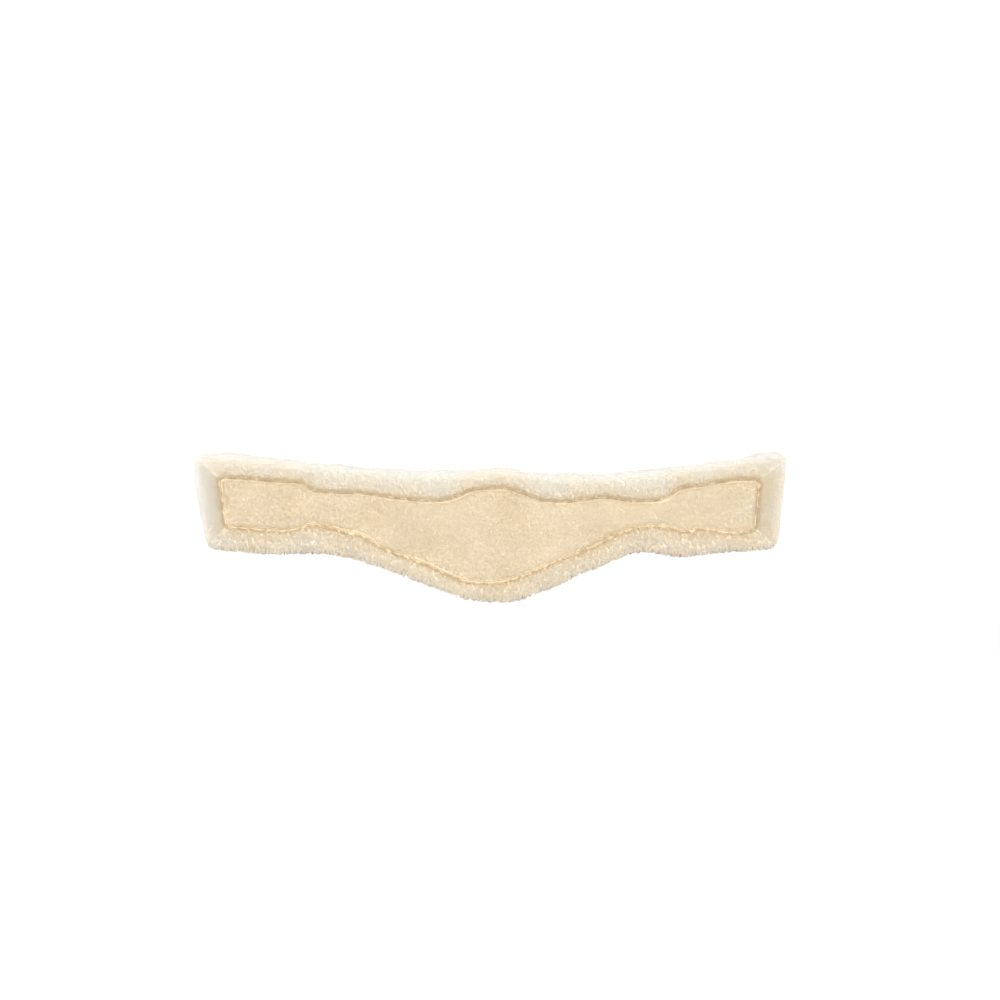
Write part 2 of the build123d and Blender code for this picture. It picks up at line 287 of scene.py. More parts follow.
def mottled(m, dark, light, scale, bump=0.0, bump_scale=None):
    """Adds procedural colour variation and a fine bump to a material."""
    nodes, links, b = nodes_of(m)
    tc = nodes.new("ShaderNodeTexCoord")
    n = nodes.new("ShaderNodeTexNoise")
    n.inputs["Scale"].default_value = scale
    n.inputs["Detail"].default_value = 4.0
    links.new(tc.outputs["Object"], n.inputs["Vector"])
    ramp = nodes.new("ShaderNodeValToRGB")
    ramp.color_ramp.elements[0].position = 0.3
    ramp.color_ramp.elements[1].position = 0.7
    ramp.color_ramp.elements[0].color = (*dark, 1)
    ramp.color_ramp.elements[1].color = (*light, 1)
    links.new(n.outputs["Fac"], ramp.inputs["Fac"])
    links.new(ramp.outputs["Color"], b.inputs["Base Color"])
    if bump:
        g = nodes.new("ShaderNodeTexVoronoi")
        g.inputs["Scale"].default_value = bump_scale or scale * 8
        links.new(tc.outputs["Object"], g.inputs["Vector"])
        bp = nodes.new("ShaderNodeBump")
        bp.inputs["Strength"].default_value = bump
        bp.inputs["Distance"].default_value = 0.0004
        links.new(g.outputs["Distance"], bp.inputs["Height"])
        links.new(bp.outputs["Normal"], b.inputs["Normal"])
    return m


def woven(m, dark, light, thread, strength=0.5):
    """Adds a plain weave of that thread width in mm to a cloth material."""
    nodes, links, b = nodes_of(m)
    tc = nodes.new("ShaderNodeTexCoord")
    threads = []
    for axis in ("X", "Z"):
        w = nodes.new("ShaderNodeTexWave")
        w.bands_direction = axis
        w.inputs["Scale"].default_value = 1 / (thread * MM * 2 * pi) * 2
        w.inputs["Distortion"].default_value = 0.6
        links.new(tc.outputs["Object"], w.inputs["Vector"])
        threads.append(w)
    mix = nodes.new("ShaderNodeMath")
    mix.operation = "MULTIPLY"
    for number, w in enumerate(threads):
        links.new(w.outputs["Fac"], mix.inputs[number])
    ramp = nodes.new("ShaderNodeValToRGB")
    ramp.color_ramp.elements[0].color = (*dark, 1)
    ramp.color_ramp.elements[1].color = (*light, 1)
    links.new(mix.outputs[0], ramp.inputs["Fac"])
    links.new(ramp.outputs["Color"], b.inputs["Base Color"])
    bp = nodes.new("ShaderNodeBump")
    bp.inputs["Strength"].default_value = strength
    bp.inputs["Distance"].default_value = 0.0003
    links.new(mix.outputs[0], bp.inputs["Height"])
    links.new(bp.outputs["Normal"], b.inputs["Normal"])
    return m


def leather(name, dark, light, roughness=0.42):
    """Grained leather with a slight finish."""
    m = material(name, light, roughness, Specular_IOR_Level=0.32, Coat_Weight=0.06, Coat_Roughness=0.3)
    return mottled(m, dark, light, 28, bump=0.35, bump_scale=900)


COVER = leather("cover_leather", (0.046, 0.0165, 0.0065), (0.078, 0.030, 0.012))
TRIM = leather("trim_leather", (0.028, 0.0105, 0.005), (0.046, 0.018, 0.008), 0.46)
STRAP = leather("strap_leather", (0.042, 0.015, 0.006), (0.068, 0.026, 0.010), 0.34)
STEEL = mottled(
    material("buckle_steel", (0.42, 0.42, 0.42), 0.24, Metallic=1.0), (0.36, 0.36, 0.365), (0.46, 0.46, 0.46), 180
)
THREAD = mottled(
    material("outer_thread", (0.72, 0.62, 0.44), 0.7, Sheen_Weight=0.3), (0.60, 0.50, 0.34), (0.74, 0.64, 0.46), 900
)
SEAM_THREAD = mottled(
    material("seam_thread", (0.74, 0.57, 0.36), 0.8, Sheen_Weight=0.3), (0.66, 0.48, 0.28), (0.80, 0.62, 0.40), 700
)
WEBBING = woven(
    material("elastic_webbing", (0.05, 0.03, 0.02), 0.8, Specular_IOR_Level=0.3, Sheen_Weight=0.08),
    (0.016, 0.008, 0.005), (0.060, 0.033, 0.020), 0.9, 0.8,
)
BACKING = woven(
    material("backing_cloth", (0.36, 0.28, 0.2), 0.85, Sheen_Weight=0.2), (0.20, 0.145, 0.10), (0.42, 0.33, 0.24), 0.7
)
LINING = woven(
    material("lining_cloth", (0.3, 0.22, 0.16), 0.85, Sheen_Weight=0.2), (0.050, 0.032, 0.021), (0.12, 0.08, 0.055), 0.7
)
HOOKS = mottled(
    material("hook_tape", (0.03, 0.022, 0.016), 0.55),
    (0.014, 0.010, 0.008), (0.055, 0.042, 0.032), 900, bump=1.0, bump_scale=1400,
)
LOOPS = mottled(
    material("loop_tape", (0.05, 0.036, 0.026), 0.9, Specular_IOR_Level=0.3, Sheen_Weight=0.25),
    (0.030, 0.020, 0.014), (0.085, 0.062, 0.045), 500, bump=0.8, bump_scale=700,
)


def wool(name, color):
    """One plain tone of wool; the pile mixes several of them, lock by lock."""
    sheen = dict(Sheen_Weight=0.55, Sheen_Roughness=0.45, Sheen_Tint=(1.0, 0.99, 0.96, 1))
    return material(name, color, 0.85, Specular_IOR_Level=0.2, **sheen)


SKIN_WOOL = mottled(
    material("lambskin_base", (0.88, 0.80, 0.67), 0.95, Specular_IOR_Level=0.15, Sheen_Weight=0.3),
    (0.84, 0.76, 0.62), (0.92, 0.86, 0.75), 60, bump=0.5, bump_scale=600,
)
PANEL_WOOL = mottled(
    material("lambskin_panel_skin", (0.82, 0.69, 0.50), 0.95, Specular_IOR_Level=0.15, Sheen_Weight=0.3),
    (0.79, 0.66, 0.47), (0.85, 0.73, 0.54), 60, bump=0.5, bump_scale=600,
)
SEAM_SKIN = mottled(
    material("lambskin_seam", (0.74, 0.54, 0.32), 0.9, Sheen_Weight=0.2),
    (0.70, 0.50, 0.29), (0.86, 0.69, 0.47), 160, bump=0.5,
)
WOOL = [
    wool(f"wool_tone_{number}", tone)
    for number, tone in enumerate(
        [
            (0.80, 0.62, 0.39),
            (0.86, 0.71, 0.49),
            (0.895, 0.765, 0.565),
            (0.905, 0.815, 0.655),
            (0.915, 0.86, 0.75),
            (0.92, 0.895, 0.82),
            (0.92, 0.915, 0.885),
            (0.68, 0.655, 0.615),
        ]
    )
]
# Painted shade: the grey tone stands in for the shadow under the lambskin's fringe, on downward-facing locks and
# towards the bottom strip's outer edge.
SHADED = 7  # number of the greyish tone
ROOT_DEPTH = 1.0  # how far under the skin a lock starts, in mm
# Locks in each piece, of 4 faces each: a piece of more than 200,000 faces is thinned in the export.
LOCKS = {"panel": 49000, "top": 49000, "bottom": 49000, "left": 14000, "right": 14000}


# ---------------------------------------------------------------- the outlines the soft pieces follow
seam_loop = resample(outline_of("fleece_panel", PILE_REAR), 2.0)
body_loop = resample(outline_of("outer_cover", COVER_REAR), 2.0)
backing_loop = resample(outline_of("liner_backing", BACKING_REAR), 2.0)
strap_loop = resample(outline_of("load_strap", STRAP_REAR), 2.0)
roll_tree = {r: tree_of("fleece_roll_" + r) for r in ROLLS}


# ---------------------------------------------------------------- the lambskin
def drawn_down(v):
    """Draws the fleece's front down at the seam and at the mitres. Gives the places and the distance from the seam."""
    v = v.copy()
    flat = v[:, [0, 2]]
    level = -v[:, 1]
    seam, _ = line_gap(flat, seam_loop)
    in_panel = inside(flat, seam_loop)
    at_end = np.abs(v[:, 0]) > END_STRIP_X
    reach = np.where(in_panel, 8.0, np.where(at_end, 9.0, 14.0))
    height = np.where(in_panel, PANEL_FRONT, ROLL_FRONT) - SEAM_FLOOR
    top = SEAM_FLOOR + height * np.sqrt(1 - (1 - np.clip(seam / reach, 0, 1)) ** 2)
    gaps = np.sort(np.stack([gap_to(roll_tree[r], v, 12.0) for r in ROLLS]), axis=0)
    depth = np.where(v[:, 0] > 0, np.where(v[:, 2] > 0, 3.2, 0.9), 0.5)  # deepest at the upper right corner
    mitre = np.where(in_panel, 0, np.clip(1 - gaps[1] / 6.0, 0, 1) ** 2 * depth)
    front = level > PILE_REAR + 0.5
    v[:, 1] = np.where(front, -np.minimum(level, top) + mitre, v[:, 1])
    return v, seam


def whole_fleece():
    """The outer surface of all the fleece in one: its tree, and the smooth normal of each face."""
    parts, faces, first = [], [], 0
    for node in ["fleece_panel", "liner_backing"] + ["fleece_roll_" + r for r in ROLLS]:
        v, f = cad_arrays(node)
        parts.append(v)
        faces.append(f + first)
        first += len(v)
    v, f = voxel_mesh(np.concatenate(parts), np.concatenate(faces), SKIN_VOXEL)
    v, _ = drawn_down(v)
    v = relax(v, f, 4)
    n = unit(relax(v, f, 5, values=normals_of(v, f)))
    return BVHTree.FromPolygons(v.tolist(), f.tolist()), n[f].mean(axis=1)


def skin_of(node, sink, lumps):
    """The skin under one piece's pile: (places, quads, outward normals, pile mask, distance from the seam).

    Sink is how far it lies under the fleece's outer surface, and lumps how much it swells in places.
    """
    v, f = voxel_mesh(*cad_arrays(node), SKIN_VOXEL)
    v, seam = drawn_down(v)
    v = relax(v, f, 3)
    tree, normals = fleece
    n = np.zeros_like(v)
    deep = np.zeros(len(v))
    for i, p in enumerate(v):
        place, _, face, gap = tree.find_nearest(p)
        n[i] = normals[face]
        deep[i] = -gap if (p - np.array(place)) @ normals[face] > 0 else gap
    n = unit(n)
    sewn = inside(v[:, [0, 2]], backing_loop) & (-v[:, 1] < PILE_REAR + 1.2)
    swell = lumps * np.clip(1 - deep / 3.0, 0, 1)
    sink = sink + 1.4 * np.exp(-((seam / 2.4) ** 2))
    shift = swell * (0.8 * waves(v, 75, 11) + 0.35 * waves(v, 28, 12)) - np.clip(sink - deep, 0, sink + 2.5)
    v = v + n * np.where(sewn, 0, shift)[:, None]
    bare = deep > np.where(-v[:, 1] < PILE_REAR + 2.0, 2.8, 1.2)
    return v, f, n, (~bare & ~sewn).astype(float), seam


fleece = whole_fleece()


def spread(v, f, weight, density, count, rng):
    """Evenly scattered places on the weighted faces: (triangle corners, barycentric weights)."""
    tri = np.concatenate([f[:, [0, 1, 2]], f[:, [0, 2, 3]]])
    tri = tri[weight[tri].mean(axis=1) > 0.35]
    w = density[tri].mean(axis=1)
    c = v[tri].mean(axis=1)
    cell = np.floor((c - c.min(axis=0)) / 6.0).astype(int)
    order = np.lexsort((cell[:, 1], cell[:, 2], cell[:, 0]))
    tri, w = tri[order], w[order]
    a = 0.5 * np.linalg.norm(np.cross(v[tri[:, 1]] - v[tri[:, 0]], v[tri[:, 2]] - v[tri[:, 0]]), axis=1) * w
    s = np.cumsum(a)
    at = (np.arange(count) + rng.uniform(0, 1, count)) / count * s[-1]
    pick = np.minimum(np.searchsorted(s, at), len(tri) - 1)
    r = rng.uniform(0, 1, (count, 2))
    flip = r.sum(axis=1) > 1
    r[flip] = 1 - r[flip]
    bary = np.stack([1 - r.sum(axis=1), r[:, 0], r[:, 1]], axis=1)
    return tri[pick], bary


def on_skin(values, corners, bary):
    """Values on the vertices, taken at scattered places."""
    x = values[corners]
    return (x * (bary[:, :, None] if x.ndim == 3 else bary)).sum(axis=1)


def pile(name, root, normal, lean, length, width, tone, softness, frontal):
    """A piece made of closed tapered locks of wool, each of them a triangle drawn out to a tip.

    Softness is how far a lock's shading follows the skin rather than its own sides, and frontal turns it to the front.
    """
    n = len(root)
    direction = unit(normal + lean)
    turn = np.random.default_rng(n).normal(size=(n, 3))
    side = unit(np.cross(direction, normal + turn * 0.8))
    other = np.cross(direction, side)
    base = root - normal * ROOT_DEPTH
    facing = np.sqrt(np.clip(-normal[:, 1], 0, 1))[:, None] * np.array([0, -1, 0])
    normal = unit(normal + (0.75 + 1.1 * np.abs(normal[:, :1]) + frontal[:, None]) * facing)
    verts, norms = [], []
    for k in range(3):
        out = side * cos(2 * pi * k / 3) + other * sin(2 * pi * k / 3)
        verts.append(base + out * (width * 0.5)[:, None])
        norms.append(unit(normal * softness + out * (1 - softness)))
    verts.append(base + direction * length[:, None])
    norms.append(unit(normal * softness + direction * (1 - softness)))
    v = np.stack(verts, axis=1).reshape(-1, 3)
    nn = np.stack(norms, axis=1).reshape(-1, 3)
    faces = np.array([(0, 2, 1), (0, 1, 3), (1, 2, 3), (2, 0, 3)])
    f = (faces[None] + (np.arange(n) * 4)[:, None, None]).reshape(-1, 3)
    index = np.repeat(tone, len(faces))
    return piece(name, v, f, WOOL, "lambskin_liner", index=index, normals=nn)


def wool_tones(level):
    """Each lock's shade: level 0 is white, 1 is cream and 1.3 is the warm tone of the roots."""
    return np.clip(np.floor((1.3 - level) / 0.25).astype(int) + 1, 0, 6)


def clumps(root, normal, per, rng):
    """Gathers locks into tufts: each lock's way to its tuft's middle, its share of the tuft's radius, its tuft."""
    middles = root[rng.permutation(len(root))[: len(root) // per]]
    tree = KDTree(len(middles))
    for i, p in enumerate(middles):
        tree.insert(p, i)
    tree.balance()
    tuft = np.array([tree.find(p)[1] for p in root])
    way = middles[tuft] - root
    way -= normal * (way * normal).sum(axis=1, keepdims=True)
    far = np.linalg.norm(way, axis=1)
    return way, np.clip(far / np.percentile(far, 90), 0, 1), tuft, len(middles)


def grow(name, skin, f, mask, density, n, seam, count, seed, style):
    """Covers a skin with locks of wool: style gives their comb, length, shade and how far they gather in tufts."""
    rng = np.random.default_rng(seed)
    corners, bary = spread(skin, f, mask, density, count, rng)
    root, normal, s = on_skin(skin, corners, bary), unit(on_skin(n, corners, bary)), on_skin(seam, corners, bary)
    keep = s > 0.45 + 0.4 * waves(root, 9, 45)
    root, normal, s = root[keep], normal[keep], s[keep]
    comb, length, level, pull, painted_shade_share, width, softness = style(root, normal, s)
    way, share, tuft, tufts = clumps(root, normal, 11, rng)
    comb = comb - normal * (comb * normal).sum(axis=1, keepdims=True)
    lean = comb + way * (pull / 4.0)[:, None] + rng.normal(size=root.shape) * 0.10
    under = np.clip((-normal[:, 2] - 0.55) / 0.45, 0, 1)
    lean += rng.normal(size=(tufts, 3))[tuft] * ((0.16 + 0.3 * under) * pull)[:, None]
    length = length * (1.06 - 0.16 * share) * rng.uniform(0.9, 1.1, len(root))
    length = length * (1 + 0.22 * pull * rng.uniform(-1, 1, tufts)[tuft])
    # Painted shade: locks towards a tuft's rim get a warmer, darker tone, as the crevices between tufts lie in shade;
    # the per-tuft and per-lock offsets are random tone.
    level = level + 0.14 * pull * rng.normal(size=tufts)[tuft] + 0.16 * share * pull + rng.normal(size=len(root)) * 0.05
    level += 0.05 * waves(root, 60, 41)
    tone = wool_tones(level)
    # Painted shade: grey locks on the downward-facing underside and, by the style's share, towards the strips' outer
    # edges.
    tone[rng.uniform(0, 1, len(root)) < np.maximum(under * 0.4, painted_shade_share)] = SHADED
    width = width * rng.uniform(0.85, 1.2, len(root)) * (1 + 0.35 * under)
    return pile(name, root, normal, lean, length, width, tone, softness, 1.5 * np.exp(-s / 6.0))


def grow_panel():
    """The sheared panel: short dense wool, combed along the girth."""
    skin, f, n, w, seam = skin_of("fleece_panel", 2.6, 0.45)
    ob = piece("lambskin_panel_base", skin, f, PANEL_WOOL, "lambskin_liner")
    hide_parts("fleece_panel")

    def style(root, normal, s):
        near = np.clip(1 - s / 5.0, 0, 1)
        comb = np.zeros_like(root)
        comb[:, 0] = 0.35 + 0.12 * waves(root, 70, 51)
        comb[:, 2] = -0.05 + 0.10 * waves(root, 60, 52)
        length = 3.9 + 0.8 * near
        lower = np.clip((-root[:, 2] - 10) / 60, 0, 1)
        pull = 0.05 + 0.3 * np.clip(1 - s / 22.0, 0, 1) * lower + 0.08 * np.clip((np.abs(root[:, 0]) - 130) / 100, 0, 1)
        # The locks by the seam take a warmer, darker tone: partly the wool's own colour there and partly painted shade
        # in the seam's crease.
        level = 0.94 + 0.35 * near - 0.06 * lower * np.clip(1 - s / 25, 0, 1)
        return comb, length, level, pull, 0.0, 1.3, 0.9

    grow("lambskin_panel_pile", skin, f, w, np.ones(len(w)), n, seam, LOCKS["panel"], 101, style)


# Each border strip's tone at the seam and at its outer edge, how far it gathers in tufts, its comb outwards and
# its share of grey locks. The outer edges are whitest on the top and left strips and warmest on the bottom one:
# painted light falling from the upper left. The grey locks are painted shade, most on the bottom strip.
LOOK = {
    "top": (0.90, 0.18, 0.18, 0.25, 0.0),
    "bottom": (1.10, 0.90, 0.50, 0.55, 0.26),
    "left": (0.66, 0.12, 0.30, 0.30, 0.0),
    "right": (0.96, 0.60, 0.40, 0.40, 0.04),
}


def grow_roll(side, seed):
    """A rolled border strip: longer wool in tufts, combed outwards, and shorter where it meets the girth's body."""
    skin, f, n, w, seam = skin_of("fleece_roll_" + side, 3.2, 1.0)
    crease = seam[f].mean(axis=1) < 5.0
    mats = [SKIN_WOOL, PANEL_WOOL]
    ob = piece(f"lambskin_{side}_base", skin, f, mats, "lambskin_liner", index=crease)
    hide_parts("fleece_roll_" + side)
    behind = np.clip((-skin[:, 1] - 4.0) / 8.0, 0.45, 1.0)

    def style(root, normal, s):
        near = np.clip(1 - s / 5.0, 0, 1)
        flat = root[:, [0, 2]]
        _, away = line_gap(flat, seam_loop)
        body, _ = line_gap(flat, backing_loop)
        rear = np.clip((20.0 + root[:, 1]) / 6.0, 0, 1)
        share = np.exp(-np.stack([gap_to(roll_tree[r], root) for r in ROLLS], axis=1) / 4.0)
        share /= share.sum(axis=1, keepdims=True)
        inner, outer, pull, outward, painted_shade_share = (share @ np.array([LOOK[r] for r in ROLLS])).T
        outward = (outward + 0.5 * rear) * (1 - near)
        comb = np.stack([away[:, 0] * outward, 0.10 - 0.2 * rear, away[:, 1] * outward], axis=1)
        comb[:, 2] -= 0.12
        down = np.clip(-normal[:, 2], 0, 1)
        length = (4.4 + 0.8 * near) * (1 + (0.6 if side == "bottom" else 0.2) * down)
        length = length * (1 - 0.45 * rear * np.clip(1 - body / 5.0, 0, 1))
        # Painted light: each strip's tone whitens from the seam to its outer edge, most on the top and left strips,
        # standing in for light falling from the upper left.
        out = np.clip((s - 3) / 24, 0, 1)
        # By the seam the locks take a warmer, darker tone: partly the wool's own colour there and partly painted shade
        # in the seam's crease.
        level = inner + (outer - inner) * out + 0.5 * near
        pull = pull * (0.5 + 0.8 * np.clip(s / 24, 0, 1))
        # Painted shade: the share of grey locks grows towards the outer edge, where the fringe hangs in shadow.
        return comb, length, level, pull, painted_shade_share * np.clip(1.8 * out - 0.3, 0, 1), 1.45, 0.84

    grow(f"lambskin_{side}_pile", skin, f, w, behind, n, seam, LOCKS[side], seed, style)


# ---------------------------------------------------------------- thread
def stitches(name, path, pitch, length, radius, mat, body, slot, into=(0, 1, 0), twist=0.0):
    """A row of separate stitches along a line of 3-D points in mm, each a short arched thread."""
    q = resample(np.asarray(path, float), pitch, closed=False)
    run = unit(np.gradient(q, axis=0))
    into = np.asarray(into, float)
    across = unit(np.cross(run, into))
    ring, along = 6, (-0.5, -0.42, -0.2, 0.2, 0.42, 0.5)
    rise = (-0.9, -0.25, 0.35, 0.35, -0.25, -0.9)
    thick = (0.25, 0.85, 1.0, 1.0, 0.85, 0.25)
    verts, faces = [], []
    for c, r, a in zip(q, run, across):
        first = len(verts)
        r = unit(r + a * twist)
        for u, h, w in zip(along, rise, thick):
            for k in range(ring):
                t = 2 * pi * k / ring
                verts.append(c + r * u * length - into * h * radius + (a * cos(t) - into * sin(t)) * radius * w)
        for j in range(len(along) - 1):
            for k in range(ring):
                p, p2 = first + j * ring + k, first + j * ring + (k + 1) % ring
                faces.append((p, p2, p2 + ring, p + ring))
        last = first + (len(along) - 1) * ring
        faces.append((first, first + 5, first + 4, first + 3))
        faces.append((first, first + 3, first + 2, first + 1))
        faces.append((last, last + 1, last + 2, last + 3))
        faces.append((last, last + 3, last + 4, last + 5))
    return piece(name, np.array(verts), np.array(faces), mat, body)


def at_level(loop, level):
    """An (x, z) line as 3-D points at one level or at a level each."""
    loop = np.asarray(loop, float)
    level = np.broadcast_to(level, len(loop))
    return np.stack([loop[:, 0], -level, loop[:, 1]], axis=1)


# ---------------------------------------------------------------- plates of leather, cloth and tape
def plate(name, loop, rear, front, mat, body, slot, edge=0.6, node=None):
    """A flat piece with rounded edges between two levels, from a counter-clockwise (x, z) loop."""
    half = (front - rear) / 2
    edge = min(edge, half)
    rows = []
    for k in range(4):
        a = k / 3 * pi / 2
        rows.append((inset(loop, edge * (1 - sin(a))), rear + edge * (1 - cos(a))))
    for k in range(4):
        a = k / 3 * pi / 2
        rows.append((inset(loop, edge * (1 - cos(a))), front - edge * (1 - sin(a))))
    n = len(loop)
    v = np.concatenate([at_level(l, t) for l, t in rows])
    bm = bmesh.new()
    bv = [bm.verts.new(Vector(p) * MM) for p in v]
    for r in range(len(rows) - 1):
        for k in range(n):
            a, b = r * n + k, r * n + (k + 1) % n
            bm.faces.new((bv[a], bv[a + n], bv[b + n], bv[b]))
    caps = [bm.faces.new(bv[:n]), bm.faces.new(bv[-n:][::-1])]
    bmesh.ops.triangulate(bm, faces=caps)
    bmesh.ops.recalc_face_normals(bm, faces=bm.faces)
    me = bpy.data.meshes.new(name)
    bm.to_mesh(me)
    bm.free()
    me.materials.append(mat)
    me.shade_smooth()
    ob = bpy.data.objects.new(name, me)
    bpy.context.scene.collection.objects.link(ob)
    mod = ob.modifiers.new("normals", "WEIGHTED_NORMAL")
    mod.weight = 90
    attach(ob, body)
    if node:
        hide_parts(*([node] if isinstance(node, str) else node))
    return ob


def box_loop(size, corner, centre, turn=0.0):
    """A rounded rectangle's loop."""
    pts, per = [], 6
    for qx, qz, start in ((1, 1, 0), (-1, 1, 90), (-1, -1, 180), (1, -1, 270)):
        for k in range(per + 1):
            a = radians(start + 90 * k / per)
            pts.append((qx * (size[0] / 2 - corner) + corner * cos(a), qz * (size[1] / 2 - corner) + corner * sin(a)))
    p = np.array(pts)
    c, s = cos(radians(turn)), sin(radians(turn))
    return p @ np.array([[c, s], [-s, c]]) + np.array(centre)


def end_point(end, row, outward, across=0.0, level=0.0):
    """A point in one end's own directions: outward from its bar, and across towards the girth's upper edge."""
    t = radians(END_TILT)
    d = ENDS[end]
    side = ROWS[row] * BUCKLE_PITCH / 2 + across if row else across
    x = d * BAR_X + d * cos(t) * outward - d * sin(t) * side
    z = sin(t) * outward + cos(t) * side
    return (x, -level, z)


def end_line(end, row, p, q, level, count):
    """Points of a straight line between two (outward, across) places of one end."""
    share = np.linspace(0, 1, count)
    return np.array([end_point(end, row, p[0] + (q[0] - p[0]) * u, p[1] + (q[1] - p[1]) * u, level) for u in share])


def cad_piece(node, mat, bevel):
    """Keeps a CAD node on show with a finish and softened edges."""
    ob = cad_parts[node]
    ob.data.materials.clear()
    ob.data.materials.append(mat)
    if bevel:
        weld = ob.modifiers.new("weld", "WELD")
        weld.merge_threshold = 1e-6
        b = ob.modifiers.new("bevel", "BEVEL")
        b.width = bevel * MM
        b.segments = 3
        b.limit_method = "ANGLE"
        b.angle_limit = radians(35)
        b.harden_normals = False


# ---------------------------------------------------------------- the girth's body
def padded_body():
    """Cover, foam and padding in one: the leather is drawn in at the strap and the binding and rises between."""
    v, f = cad_arrays("foam_core")
    rear = -v[:, 1] < 9.3
    v[rear, 1] = -COVER_REAR
    v, f = voxel_mesh(v, f, BODY_VOXEL)
    flat = v[:, [0, 2]]
    edge, _ = line_gap(flat, body_loop)
    strap, _ = line_gap(flat, strap_loop)
    under = inside(flat, strap_loop)
    is_rear = -v[:, 1] < (COVER_REAR + LINING_REAR) / 2
    free = np.where(under, 0, np.clip(strap / 14, 0, 1)) * np.clip((edge - 6.0) / 12, 0, 1)
    swell = 2.1 * np.sqrt(np.clip(free, 0, 1)) * (1 + 0.12 * waves(v, 50, 71))
    v[:, 1] += np.where(is_rear, swell, 0)
    pucker = np.exp(-((edge - 5.2) ** 2) / 0.8) * 0.35
    v[:, 1] -= np.where(is_rear & ~under, pucker, 0)
    v = relax(v, f, 2)
    ob = piece("outer_cover_padded", v, f, COVER, "girth_body")
    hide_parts("outer_cover", "foam_core")


def binding():
    """A strip of leather folded over the girth's edge, a little uneven as a hand-turned edge is."""
    loop = resample(inset(body_loop, -1.0), 2.5)
    # (inset from the edge, level) round the strip's section, from the rear turn-in round the edge and back inside it
    profile = [(7.2, 7.25), (6.6, 6.75), (4.5, 6.62), (2.2, 6.70), (0.7, 7.15), (0.0, 8.3), (-0.05, 11.3)]
    profile += [(0.0, 14.3), (0.7, 15.45), (2.2, 15.78), (4.5, 15.80), (6.6, 15.72), (7.2, 15.25)]
    profile += [(5.0, 14.9), (1.2, 14.2), (1.0, 11.3), (1.2, 7.7), (5.0, 7.42)]
    n = len(loop)
    rows = []
    for depth, level in profile:
        q = at_level(inset(loop, depth), level)
        q[:, 1] += 0.10 * waves(q, 16, 81)
        rows.append(q)
    v = np.concatenate(rows)
    m = len(profile)
    f = []
    for r in range(m):
        s = (r + 1) % m
        for k in range(n):
            b = (k + 1) % n
            f.append((r * n + k, r * n + b, s * n + b, s * n + k))
    ob = piece("edge_binding_turned", v, np.array(f), TRIM, "girth_body")
    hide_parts("edge_binding")
    line = np.vstack([inset(loop, 5.4), inset(loop, 5.4)[:1]])
    stitches("edge_binding_stitches", at_level(line, 6.55), 4.2, 3.1, 0.34, THREAD, "girth_body", "trim_leather")


def straps():
    """The load strap with its two rows of stitching."""
    on_strap = ("girth_body", "strap_leather")
    plate("load_strap_leather", strap_loop, STRAP_REAR, COVER_REAR, STRAP, *on_strap, 1.1, node="load_strap")
    line = resample(strap_loop, 2.0)
    inner = soften(inset(soften(line, 6), 7.2), 4)
    for name, row in (("load_strap_stitches", inset(line, 4.0)), ("load_strap_inner_stitches", inner)):
        path = at_level(np.vstack([row, row[:1]]), STRAP_REAR - 0.05)
        stitches(name, path, 4.4, 3.2, 0.38, THREAD, *on_strap)


